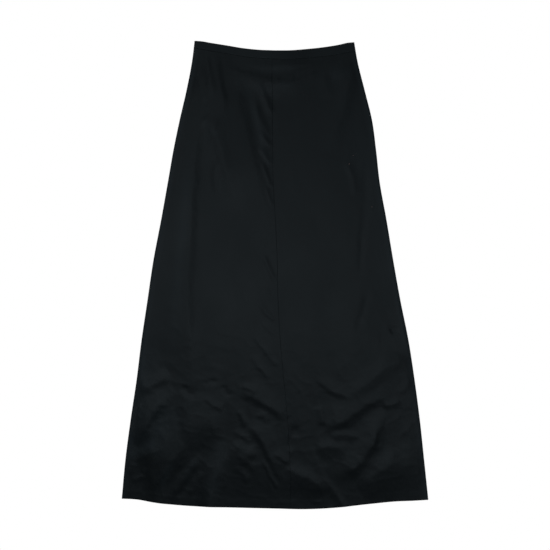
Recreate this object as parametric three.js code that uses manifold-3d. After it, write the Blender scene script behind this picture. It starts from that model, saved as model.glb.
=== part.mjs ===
// Maxi skirt in black satin, laid flat on its back panels with the front on top.
// Millimetres. The waist points along +Y, the hem along -Y and the front faces +Z.
// The origin is on the surface it lies on, under the middle of the skirt.
// "down" is a distance from the highest point of the waist towards the hem.
// Left and right are the sides at -X and +X.
import * as THREE from "three";
import { mergeVertices } from "three/addons/utils/BufferGeometryUtils.js";
import Module from "manifold-3d";

const wasm = await Module();
wasm.setup();

// Driving dimensions
const skirtLength = 984; // highest point of the waist to lowest point of the hem
const bandLeft = 16; // height of the waistband at its two ends
const bandRight = 20;
const panelWall = 1.2; // one layer of satin with its seam allowances pressed in
const bandWall = 1.5; // doubled satin with interfacing
const seamGap = 0.3; // between two pieces that are sewn together
const hemFold = 20; // depth of the turned-up hem
const hemExtra = 0.4; // the second layer of cloth in the hem
const seamRoll = 2.5; // width over which a sewn edge rolls down into its seam
const zipLift = 3.1; // how far the zip slider lifts the cloth off the surface

const halfLength = skirtLength / 2;
const halfGap = seamGap / 2;
const backSeam = 0; // x of the centre-back seam

// Half-widths of the outline, and x of the centre-front seam
const outline = [
  { down: 0, left: 169, right: 166, seam: -6 },
  { down: 41, left: 174, right: 173, seam: -6 },
  { down: 104, left: 186, right: 188.5, seam: -5.5 },
  { down: 167, left: 200.5, right: 204, seam: -5 },
  { down: 230, left: 213.5, right: 212.5, seam: -4.5 },
  { down: 293, left: 224.5, right: 219.5, seam: -3.5 },
  { down: 377, left: 239.5, right: 234.5, seam: 1 },
  { down: 461, left: 255.5, right: 248.5, seam: 5 },
  { down: 545, left: 268, right: 263.5, seam: 6.5 },
  { down: 629, left: 280.5, right: 280.5, seam: 11 },
  { down: 713, left: 291, right: 293.5, seam: 18.5 },
  { down: 797, left: 303.5, right: 304.5, seam: 26.5 },
  { down: 881, left: 314.5, right: 313.5, seam: 31 },
  { down: 962, left: 322, right: 322, seam: 33 },
];
// Where the top edge and the hem run, by share of the half-width from the middle
const waistLine = [
  { share: 0, left: 20.4, right: 20.4 },
  { share: 0.2, left: 19, right: 20 },
  { share: 0.4, left: 15.3, right: 17.2 },
  { share: 0.6, left: 9.6, right: 13.6 },
  { share: 0.8, left: 4.2, right: 8.4 },
  { share: 0.92, left: 0.8, right: 4 },
  { share: 1, left: 0, right: 2.9 },
];
const hemLine = [
  { share: 0, left: 982.7, right: 982.7 },
  { share: 0.2, left: 981.2, right: 984 },
  { share: 0.4, left: 979.4, right: 980.8 },
  { share: 0.6, left: 976.3, right: 973.7 },
  { share: 0.8, left: 969.5, right: 967.6 },
  { share: 0.9, left: 963.8, right: 966.4 },
  { share: 1, left: 962, right: 964.5 },
];

// The largest folds of the front: a height below 0 is a trough, above 0 a ridge. bend is how far the middle bows
// out, to the left of the way the fold runs. left and right are the widths of its two slopes, seen the same way.
const folds = [
  { name: "right sweep", x1: 98, down1: 808, x2: 248, down2: 744, bend: -4, left: 34, right: 11, height: 2.4 },
  { name: "right lower sweep", x1: 122, down1: 911, x2: 234, down2: 786, bend: -22, left: 28, right: 14, height: 2.6 },
  { name: "right hem plate", x1: 182, down1: 934, x2: 248, down2: 864, bend: -7, left: 22, right: 40, height: 2.3 },
  { name: "right hem ridge", x1: 76, down1: 860, x2: 163, down2: 962, bend: -17, left: 10, right: 10, height: 1.8 },
  { name: "middle hem ridge", x1: 20, down1: 903, x2: 112, down2: 950, bend: 6, left: 16, right: 28, height: 2.6 },
  { name: "right pocket", x1: 94, down1: 864, x2: 147, down2: 865, bend: 7, left: 12, right: 10, height: 1.4 },
  { name: "right upper ridge", x1: 86, down1: 710, x2: 164, down2: 748, bend: -9, left: 14, right: 10, height: 1.4 },
  { name: "right side ridge", x1: 276, down1: 806, x2: 276, down2: 886, bend: 7, left: 12, right: 12, height: 1.4 },
  { name: "right top ridge", x1: 174, down1: 726, x2: 220, down2: 693, bend: -2, left: 14, right: 12, height: 1.5 },
  { name: "middle long ridge", x1: -62, down1: 804, x2: 20, down2: 950, bend: 17, left: 26, right: 10, height: 2.4 },
  { name: "middle upper ridge", x1: -76, down1: 733, x2: 24, down2: 801, bend: 8, left: 22, right: 12, height: 2.1 },
  { name: "inner trough", x1: -80, down1: 806, x2: -101, down2: 958, bend: -1, left: 12, right: 12, height: -1.9 },
  { name: "left long ridge", x1: -86, down1: 742, x2: -129, down2: 968, bend: 2, left: 15, right: 20, height: 1.8 },
  { name: "left trough", x1: -134, down1: 806, x2: -157, down2: 955, bend: -2, left: 13, right: 15, height: -1.7 },
  { name: "left plate", x1: -176, down1: 872, x2: -318, down2: 890, bend: -22, left: 32, right: 74, height: 2.9 },
  { name: "left hollow", x1: -194, down1: 806, x2: -192, down2: 870, bend: 5, left: 13, right: 13, height: -1.8 },
  { name: "left hem ridge", x1: -216, down1: 872, x2: -235, down2: 954, bend: -4, left: 13, right: 14, height: 2.2 },
  { name: "left small ridge", x1: -208, down1: 928, x2: -170, down2: 887, bend: -2, left: 12, right: 12, height: 1.6 },
  { name: "left side ridge", x1: -306, down1: 848, x2: -231, down2: 762, bend: 10, left: 15, right: 12, height: 2 },
  { name: "left top ridge", x1: -278, down1: 722, x2: -226, down2: 690, bend: -2, left: 16, right: 12, height: 1.7 },
  { name: "upper waist crease", x1: -150, down1: 30, x2: 168, down2: 21, bend: -20, left: 46, right: 9, height: 1.3 },
  { name: "lower waist crease", x1: -118, down1: 48, x2: 72, down2: 60, bend: -19, left: 34, right: 10, height: 1.8 },
  { name: "seam pull", x1: -64, down1: 90, x2: -5, down2: 398, bend: -16, left: 11, right: 26, height: 2.5 },
  { name: "left hip ridge", x1: -154, down1: 160, x2: -86, down2: 312, bend: 9, left: 15, right: 13, height: 1.7 },
  { name: "left long fold", x1: -152, down1: 90, x2: -176, down2: 726, bend: -16, left: 14, right: 46, height: 2.8 },
  { name: "right hip trough", x1: 166, down1: 66, x2: 126, down2: 222, bend: 3, left: 12, right: 12, height: -1.2 },
];

// How far the front lies above the back between its folds
const restPuff = 0.9; // over the flat upper part
const creasedPuff = 3.6; // over the creased lower part
const creasesFrom = 600;
const creasesFull = 790;
const edgeStep = 0.2; // share of the height that the folded side edge takes at once
const edgeRound = 8;
const edgeEase = 115; // the front settles onto the back this far from the sides
const hemEase = 30; // folds fade out at the hem over this distance
const hemSlope = 95; // the front comes down to the hem over this distance
const hemPuff = 0.8;
const tallestGap = 3.8; // under a fold; above this the wall thickens instead

// The grid of a front panel
const frontColumns = 25;
const upperRows = 18;
const creasedRows = 31;

const satin = new THREE.MeshStandardMaterial({ name: "satin", color: 0x16191c, roughness: 0.45, metalness: 0 });
const bandSatin = new THREE.MeshStandardMaterial({ name: "band_satin", color: 0x171a1d, roughness: 0.5, metalness: 0 });
const metal = new THREE.MeshStandardMaterial({ name: "zip_metal", color: 0x121212, roughness: 0.4, metalness: 0.6 });

const lerp = THREE.MathUtils.lerp;
const smooth = THREE.MathUtils.smoothstep;

// A smooth curve through a table's column
function read(table, key, at, column) {
  const last = table.length - 1;
  let i = 0;
  while (i < last - 1 && at > table[i + 1][key]) i += 1;
  const slope = (k) => {
    const a = table[Math.max(k - 1, 0)];
    const b = table[Math.min(k + 1, last)];
    return (b[column] - a[column]) / (b[key] - a[key]);
  };
  const from = table[i];
  const to = table[i + 1];
  const span = to[key] - from[key];
  const t = THREE.MathUtils.clamp((at - from[key]) / span, 0, 1);
  const t2 = t * t;
  const t3 = t2 * t;
  return (
    from[column] * (2 * t3 - 3 * t2 + 1) +
    slope(i) * span * (t3 - 2 * t2 + t) +
    to[column] * (3 * t2 - 2 * t3) +
    slope(i + 1) * span * (t3 - t2)
  );
}

const sideName = (x) => (x < 0 ? "left" : "right");
const edgeAt = (side, down) => read(outline, "down", down, side);
const seamAt = (down) => read(outline, "down", down, "seam");
const waistAt = (share, side) => read(waistLine, "share", share, side);
const hemAt = (share, side) => read(hemLine, "share", share, side);
// The band's height; share runs from -1 at the left to 1 at the right
const bandAt = (share) => lerp(bandLeft, bandRight, (share + 1) / 2);

// From 1 on a fold's line almost straight down to 0 at the foot of its slope
function slopeDown(t) {
  const rounding = 0.2;
  const sharpness = 5;
  const away = Math.hypot(t, rounding) - rounding;
  return Math.log1p(Math.exp((1 - away) * sharpness)) / Math.log1p(Math.exp(sharpness));
}

// The height that one fold adds at a point, from its distance to the fold's arc
function foldHeight(fold, x, down) {
  const steps = 10;
  const middleX = (fold.x1 + fold.x2) / 2;
  const middleDown = (fold.down1 + fold.down2) / 2;
  const alongX = fold.x2 - fold.x1;
  const alongDown = fold.down2 - fold.down1;
  const length = Math.hypot(alongX, alongDown);
  const controlX = middleX + (2 * fold.bend * alongDown) / length;
  const controlDown = middleDown - (2 * fold.bend * alongX) / length;
  let nearest = Infinity;
  let place = 0;
  let turn = 0;
  let previous = null;
  for (let i = 0; i <= steps; i += 1) {
    const t = i / steps;
    const point = {
      x: (1 - t) ** 2 * fold.x1 + 2 * t * (1 - t) * controlX + t * t * fold.x2,
      down: (1 - t) ** 2 * fold.down1 + 2 * t * (1 - t) * controlDown + t * t * fold.down2,
    };
    if (previous) {
      const dx = point.x - previous.x;
      const dd = point.down - previous.down;
      const along = ((x - previous.x) * dx + (down - previous.down) * dd) / (dx * dx + dd * dd);
      const s = THREE.MathUtils.clamp(along, 0, 1);
      const offX = x - previous.x - s * dx;
      const offDown = down - previous.down - s * dd;
      const distance = Math.hypot(offX, offDown);
      if (distance < nearest) {
        nearest = distance;
        place = t + (s - 1) / steps;
        turn = dx * offDown - dd * offX;
      }
    }
    previous = point;
  }
  const taper = Math.max(Math.sin(Math.PI * place), 0) ** 0.7;
  return fold.height * taper * slopeDown(nearest / (turn > 0 ? fold.right : fold.left));
}

// The slider under the top of the centre-back seam lifts both layers a little
const zipPlateau = { across: 5.5, down: 14 };
const zipSpread = { across: 92, down: 110 };
function zipBump(x, down) {
  const below = down - waistAt(0, "left");
  const across = 1 - smooth(Math.abs(x - backSeam), zipPlateau.across, zipSpread.across);
  return zipLift * across * (1 - smooth(below, zipPlateau.down, zipSpread.down));
}

// How far the front panel's underside lies above the back panel
function frontLift(x, down, fromEdge, fromHem) {
  const puff = lerp(restPuff, creasedPuff, smooth(down, creasesFrom, creasesFull));
  const eased = lerp(hemPuff, puff, smooth(fromHem, 0, hemSlope));
  const relief = folds.reduce((sum, fold) => sum + foldHeight(fold, x, down), 0);
  const above = Math.max(eased + relief * smooth(fromHem, -hemEase, hemEase), 0.15);
  return above * (edgeStep * smooth(fromEdge, 0, edgeRound) + (1 - edgeStep) * smooth(fromEdge, 0, edgeEase));
}

// A closed wall between an outer and an inner grid of points; turned is for a grid that runs from right to left
function wall(outer, inner, turned) {
  const rows = outer.length;
  const columns = outer[0].length;
  const points = [...outer.flat(), ...inner.flat()];
  const index = [];
  const quad = (a, b, c, d) => {
    if (turned) index.push(a, c, b, a, d, c);
    else index.push(a, b, c, a, c, d);
  };
  const out = (r, c) => r * columns + c;
  const into = (r, c) => rows * columns + out(r, c);
  for (let r = 0; r < rows - 1; r += 1) {
    for (let c = 0; c < columns - 1; c += 1) {
      quad(out(r, c), out(r + 1, c), out(r + 1, c + 1), out(r, c + 1));
      quad(into(r, c), into(r, c + 1), into(r + 1, c + 1), into(r + 1, c));
    }
    quad(out(r, 0), into(r, 0), into(r + 1, 0), out(r + 1, 0));
    const end = columns - 1;
    quad(out(r, end), out(r + 1, end), into(r + 1, end), into(r, end));
  }
  for (let c = 0; c < columns - 1; c += 1) {
    quad(out(0, c), out(0, c + 1), into(0, c + 1), into(0, c));
    const end = rows - 1;
    quad(out(end, c), into(end, c), into(end, c + 1), out(end, c + 1));
  }
  const geometry = new THREE.BufferGeometry();
  geometry.setAttribute("position", new THREE.Float32BufferAttribute(points.flatMap((p) => [p.x, p.y, p.z]), 3));
  geometry.setIndex(index);
  geometry.computeVertexNormals();
  return geometry;
}

// Distances from the seam, across a piece of that width, closer together where its two edges roll over
function acrossStops(width, inside, count) {
  const first = halfGap;
  const stops = [first, first + seamRoll, ...inside.map((d) => first + d)];
  const from = stops[stops.length - 1];
  const to = width - 2;
  for (let i = 1; i <= count; i += 1) stops.push(lerp(from, to, i / count));
  stops.push(width - 0.6, width);
  return stops;
}

// The share of the wall's thickness that is left at its rolled edges
const seamShare = 0.55;
const sideShare = 0.4;
const nearSideShare = 0.8;
function rollShare(column, columns) {
  if (column === 0) return seamShare;
  if (column === columns - 1) return sideShare;
  return column === columns - 2 ? nearSideShare : 1;
}

// One of the four skirt panels. Rows run from the waist seam to the hem, columns from the middle seam to the side.
function panel({ side, front, rows, inside, columns }) {
  const sign = side === "left" ? -1 : 1;
  const outer = [];
  const inner = [];
  const topSide = waistAt(1, side) + bandAt(sign) + halfGap;
  const hemSide = hemAt(1, side);
  rows.forEach((row) => {
    const sideDown = lerp(topSide, hemSide, row.share);
    const middleDown = lerp(waistAt(0, side) + bandAt(0), hemAt(0, side), row.share);
    const edge = edgeAt(side, sideDown);
    const seam = front ? seamAt(middleDown) : backSeam;
    const width = edge - sign * seam;
    const stops = acrossStops(width, inside, columns);
    const outerRow = [];
    const innerRow = [];
    stops.forEach((stop, c) => {
      const x = seam + sign * stop;
      const share = Math.min(Math.abs(x) / edge, 1);
      const lineSide = sideName(x);
      const top = waistAt(share, lineSide) + bandAt(share * Math.sign(x)) + halfGap;
      const hem = hemAt(share, lineSide);
      const down = lerp(top, hem, row.share);
      const roll = Math.min(rollShare(c, stops.length), row.roll);
      const lift = front ? frontLift(x, down, width - stop, hem - down) : 0;
      const bump = zipBump(x, down);
      const base = bump + (front ? panelWall + seamGap + 0.25 * bump : 0);
      const low = base + Math.min(lift, tallestGap);
      const high = base + lift + panelWall * roll + (row.hem ? hemExtra : 0);
      const y = halfLength - down;
      // A front panel rolls down at its edges and a back panel rolls up
      const rolledLow = front ? low : base + (c >= stops.length - 2 ? panelWall * (1 - roll) * 0.5 : 0);
      outerRow.push(new THREE.Vector3(x, y, front ? high : base + panelWall));
      innerRow.push(new THREE.Vector3(x, y, rolledLow));
    });
    outer.push(outerRow);
    inner.push(innerRow);
  });
  return wall(outer, inner, side === "left");
}

// Rows as shares of the panel's length: the rolled waist edge, even steps, closer steps where it is creased, the hem
function frontRows() {
  const panelLength = skirtLength - bandAt(0) - waistAt(0, "left");
  const hemTop = 1 - hemFold / panelLength;
  const rows = [{ share: 0, roll: seamShare }, { share: seamRoll / panelLength, roll: 1 }];
  const creased = (creasesFrom - bandAt(0) - waistAt(0, "left")) / panelLength;
  for (let i = 1; i <= upperRows; i += 1) rows.push({ share: (creased * i) / upperRows, roll: 1 });
  for (let i = 1; i < creasedRows; i += 1) rows.push({ share: lerp(creased, hemTop, i / creasedRows), roll: 1 });
  rows.push({ share: hemTop - 1 / panelLength, roll: 1 });
  rows.push({ share: hemTop + 1 / panelLength, roll: 1, hem: true });
  rows.push({ share: 1 - 1.5 / panelLength, roll: 1, hem: true });
  rows.push({ share: 1, roll: seamShare, hem: true });
  return rows;
}

function backRows() {
  const panelLength = skirtLength - bandAt(0) - waistAt(0, "left");
  const stops = [0, seamRoll, 10, 20, 34, 50, 68, 88, 110];
  const rows = stops.map((stop) => ({ share: stop / panelLength, roll: 1 }));
  const even = 11;
  const from = rows[rows.length - 1].share;
  for (let i = 1; i <= even; i += 1) rows.push({ share: lerp(from, 1, i / even), roll: 1 });
  return rows;
}

// One piece of the waistband, from x share a to share b of the half-widths, both signed, or from the zip to a side
function band({ from, to, front }) {
  // Each level is a share of the band's height and a distance added to it
  const levels = [
    { part: 0, add: 0, roll: 0.55 },
    { part: 0, add: 1.5, roll: 1 },
    { part: 0.5, add: 0, roll: 1 },
    { part: 1, add: -seamRoll, roll: 1 },
    { part: 1, add: -halfGap, roll: 0.7 },
  ];
  const steps = Math.round((to - from) * 22);
  const outer = [];
  const inner = [];
  levels.forEach((level) => {
    const outerRow = [];
    const innerRow = [];
    for (let i = -1; i <= steps + 1; i += 1) {
      const nearEnd = i < 0 || i > steps;
      const t = THREE.MathUtils.clamp(i / steps, 0, 1);
      const inset = i === 0 || i === steps ? seamRoll / 170 : 0;
      const share = lerp(from, to, t) + (i === 0 ? inset : -inset);
      const side = sideName(share);
      const along = level.part * bandAt(share) + level.add;
      const edge = edgeAt(side, waistAt(1, side) + along);
      const zipSide = nearEnd && Math.abs(share) < 0.01;
      const x = zipSide ? backSeam + (from === 0 ? halfGap : -halfGap) : share * edge;
      const down = waistAt(Math.min(Math.abs(share), 1), side) + along;
      const bump = zipBump(x, down);
      const endShare = nearEnd ? (zipSide ? 1 : sideShare) : 1;
      const roll = Math.min(level.roll, endShare);
      const base = front ? bandWall + seamGap + bump * 1.25 : bump;
      const y = halfLength - down;
      const low = !front && nearEnd && !zipSide ? base + bandWall * 0.3 : base;
      outerRow.push(new THREE.Vector3(x, y, front ? base + bandWall * roll : base + bandWall));
      innerRow.push(new THREE.Vector3(x, y, low));
    }
    outer.push(outerRow);
    inner.push(innerRow);
  });
  return wall(outer, inner, false);
}

// The zip's slider and pull tab, under the top of the centre-back seam. Heights are above the surface.
const zip = {
  pivotBelowTop: 9, // from the top edge of the band
  pivotHeight: 1.55,
  plateWidth: 5,
  plateAbove: 5.5, // how far the plate runs past the pivot, towards the top edge
  plateBelow: 7,
  plateLow: 2.2,
  plateHigh: 2.8,
  bridgeLow: 0.2, // the bridge is the loop that holds the pull
  bridgeWire: 0.7,
  bridgeInside: 1.3,
  bridgeWidth: 1.4,
  pullLength: 24,
  pullThickness: 0.7,
  eyeWidth: 4,
  endWidth: 6,
  holeWidth: 2.2,
  holeLength: 2.1,
  eyeBar: 0.7, // the bar of the pull that turns inside the bridge
};
const pivotY = halfLength - waistAt(0, "left") - zip.pivotBelowTop;

function flatPiece(shape, low, high) {
  const geometry = new THREE.ExtrudeGeometry(shape, { depth: high - low, bevelEnabled: false, curveSegments: 6 });
  return geometry.translate(backSeam, pivotY, low);
}

function solid(geometry) {
  geometry.deleteAttribute("normal");
  geometry.deleteAttribute("uv");
  const merged = mergeVertices(geometry, 1e-4);
  return new wasm.Manifold(
    new wasm.Mesh({ numProp: 3, vertProperties: merged.attributes.position.array, triVerts: merged.index.array }),
  );
}

function joined(pieces) {
  const mesh = pieces.map(solid).reduce((sum, piece) => sum.add(piece)).getMesh();
  const geometry = new THREE.BufferGeometry();
  geometry.setAttribute("position", new THREE.BufferAttribute(mesh.vertProperties, 3));
  geometry.setIndex(new THREE.BufferAttribute(mesh.triVerts, 1));
  geometry.computeVertexNormals();
  return geometry;
}

function slider() {
  const half = zip.plateWidth / 2;
  const plate = new THREE.Shape();
  plate.moveTo(-half * 0.7, -zip.plateBelow);
  plate.lineTo(half * 0.7, -zip.plateBelow);
  plate.lineTo(half, zip.plateAbove - half);
  plate.absarc(0, zip.plateAbove - half, half, 0, Math.PI, false);
  plate.closePath();

  // The bridge is drawn in its side view and then turned upright
  const reach = zip.bridgeInside / 2 + zip.bridgeWire;
  const bridge = new THREE.Shape();
  bridge.moveTo(-reach, zip.plateLow + 0.1);
  bridge.lineTo(-reach, zip.bridgeLow + 0.3);
  bridge.lineTo(-reach + 0.3, zip.bridgeLow);
  bridge.lineTo(reach - 0.3, zip.bridgeLow);
  bridge.lineTo(reach, zip.bridgeLow + 0.3);
  bridge.lineTo(reach, zip.plateLow + 0.1);
  bridge.lineTo(zip.bridgeInside / 2, zip.plateLow + 0.1);
  bridge.lineTo(zip.bridgeInside / 2, zip.bridgeLow + zip.bridgeWire);
  bridge.lineTo(-zip.bridgeInside / 2, zip.bridgeLow + zip.bridgeWire);
  bridge.lineTo(-zip.bridgeInside / 2, zip.plateLow + 0.1);
  bridge.closePath();
  const loop = new THREE.ExtrudeGeometry(bridge, { depth: zip.bridgeWidth, bevelEnabled: false });
  loop.rotateX(Math.PI / 2).rotateZ(Math.PI / 2);
  loop.translate(backSeam - zip.bridgeWidth / 2, pivotY, 0);
  return joined([flatPiece(plate, zip.plateLow, zip.plateHigh), loop]);
}

function pull() {
  const top = zip.eyeBar / 2;
  const eye = zip.eyeWidth / 2;
  const end = zip.endWidth / 2;
  const shape = new THREE.Shape();
  shape.moveTo(-eye + 0.5, top);
  shape.lineTo(-eye, top - 0.5);
  shape.lineTo(-eye, -zip.holeLength - 1);
  shape.lineTo(-end, end - zip.pullLength);
  shape.absarc(0, end - zip.pullLength, end, Math.PI, 2 * Math.PI, false);
  shape.lineTo(eye, -zip.holeLength - 1);
  shape.lineTo(eye, top - 0.5);
  shape.lineTo(eye - 0.5, top);
  shape.closePath();
  const half = zip.holeWidth / 2;
  const hole = new THREE.Path();
  hole.moveTo(-half, -top);
  hole.lineTo(half, -top);
  hole.lineTo(half, -top - zip.holeLength);
  hole.lineTo(-half, -top - zip.holeLength);
  hole.closePath();
  shape.holes.push(hole);
  const low = zip.pivotHeight - zip.pullThickness / 2;
  return flatPiece(shape, low, low + zip.pullThickness);
}

const group = new THREE.Group();
function add(name, geometry, material) {
  const mesh = new THREE.Mesh(geometry, material);
  mesh.name = name;
  group.add(mesh);
  return mesh;
}

for (const side of ["left", "right"]) {
  const cut = { side, rows: frontRows(), inside: [], columns: frontColumns };
  add(`front_${side}`, panel({ ...cut, front: true }), satin);
  const plain = { side, rows: backRows(), inside: [5.5, 14, 26, 40, 56, 74, 92], columns: 4 };
  add(`back_${side}`, panel({ ...plain, front: false }), satin);
}
add("waistband_front", band({ from: -1, to: 1, front: true }), bandSatin);
add("waistband_back_left", band({ from: -1, to: 0, front: false }), bandSatin);
add("waistband_back_right", band({ from: 0, to: 1, front: false }), bandSatin);
add("zip_slider", slider(), metal);
add("zip_pull", pull(), metal);

export default group;
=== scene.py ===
# A long black satin skirt, laid flat with its front up.
# Blender's units are metres. The pattern below is in millimetres: x runs across from the middle, and
# down runs from the highest point of the waist towards the hem. Left and right are the sides at -X and +X.
import math
import random

import bpy
import numpy as np
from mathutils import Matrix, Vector, noise


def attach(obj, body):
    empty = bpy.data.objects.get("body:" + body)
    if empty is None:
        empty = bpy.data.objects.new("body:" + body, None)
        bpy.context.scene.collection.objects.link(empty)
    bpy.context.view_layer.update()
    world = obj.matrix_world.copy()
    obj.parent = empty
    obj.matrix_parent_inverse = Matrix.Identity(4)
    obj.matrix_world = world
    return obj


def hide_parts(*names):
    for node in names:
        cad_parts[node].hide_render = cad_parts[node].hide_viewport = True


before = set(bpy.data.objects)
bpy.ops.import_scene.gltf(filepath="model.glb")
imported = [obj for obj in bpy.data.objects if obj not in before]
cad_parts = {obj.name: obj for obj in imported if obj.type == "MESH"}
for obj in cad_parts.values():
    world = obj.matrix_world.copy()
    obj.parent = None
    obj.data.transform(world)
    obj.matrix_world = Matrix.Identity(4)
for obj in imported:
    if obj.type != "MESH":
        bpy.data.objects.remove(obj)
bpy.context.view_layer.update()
print("frame loaded")

mm = 0.001

skirt = {
    "length": 984,
    "bandLeft": 16,  # height of the waistband at its two ends
    "bandRight": 20,
    "panelWall": 1.2,
    "bandWall": 1.5,
    "seamGap": 0.3,
    "seamSlit": 0.04,  # what shows of the gap where two pieces are sewn together
    "backDrop": 0.7,  # the back's waist seam lies lower than the front's by this
    "hemFold": 19,  # depth of the turned-up hem that shows
    "hemStep": 0.16,  # and how far it stands up
    "zipLift": 3.1,  # how far the zip slider lifts the back, and how many times as far the front
    "zipLiftFront": 1.25,
    "shell": 1.0,  # thickness of the front panels' cloth that shows, and of the front band's
    "bandShell": 1.2,
    "shellEdge": 0.3,  # share of it that is left at a rolled edge, and the least in mm
    "shellLeast": 0.1,
    "shellBelow": 0.2,  # how far a front panel's cloth may reach below what it rests on, and the front band's
    "bandShellBelow": 0.15,
}

# Half-widths of the outline, and x of the centre-front seam: down, left, right, seam
outline = np.array([
    (0, 169, 166, -6), (41, 174, 173, -6), (104, 186, 188.5, -5.5), (167, 200.5, 204, -5),
    (230, 213.5, 212.5, -4.5), (293, 224.5, 219.5, -3.5), (377, 239.5, 234.5, 1), (461, 255.5, 248.5, 5),
    (545, 268, 263.5, 6.5), (629, 280.5, 280.5, 11), (713, 291, 293.5, 18.5), (797, 303.5, 304.5, 26.5),
    (881, 314.5, 313.5, 31), (962, 322, 322, 33),
])
# Where the waist and the hem run: share of the half-width, down on the left, down on the right
waistLine = np.array([
    (0, 20.4, 20.4), (0.2, 19, 20), (0.4, 15.3, 17.2), (0.6, 9.6, 13.6), (0.8, 4.2, 8.4), (0.92, 0.8, 4),
    (1, 0, 2.9),
])
hemLine = np.array([
    (0, 982.7, 982.7), (0.2, 981.2, 984), (0.4, 979.4, 980.8), (0.6, 976.3, 973.7), (0.8, 969.5, 967.6),
    (0.9, 963.8, 966.4), (1, 962, 964.5),
])


def curveThrough(table, at, column):
    key, value = table[:, 0], table[:, column]
    slope = np.gradient(value, key)
    at = np.clip(at, key[0], key[-1])
    i = np.clip(np.searchsorted(key, at, side="right") - 1, 0, len(key) - 2)
    span = key[i + 1] - key[i]
    t = (at - key[i]) / span
    return (
        value[i] * (2 * t**3 - 3 * t**2 + 1) + slope[i] * span * (t**3 - 2 * t**2 + t)
        + value[i + 1] * (3 * t**2 - 2 * t**3) + slope[i + 1] * span * (t**3 - t**2)
    )


def smooth(value, low, high):
    t = np.clip((value - low) / (high - low), 0, 1)
    return t * t * (3 - 2 * t)


def edgeAt(side, down):
    return curveThrough(outline, down, 1 if side == "left" else 2)


def seamAt(down):
    return curveThrough(outline, down, 3)


def lineAt(table, share, x):
    share = np.clip(np.abs(share), 0, 1)
    return np.where(x < 0, curveThrough(table, share, 1), curveThrough(table, share, 2))


def bandAt(share):  # share runs from -1 at the left to 1 at the right
    return skirt["bandLeft"] + (skirt["bandRight"] - skirt["bandLeft"]) * (share + 1) / 2


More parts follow.
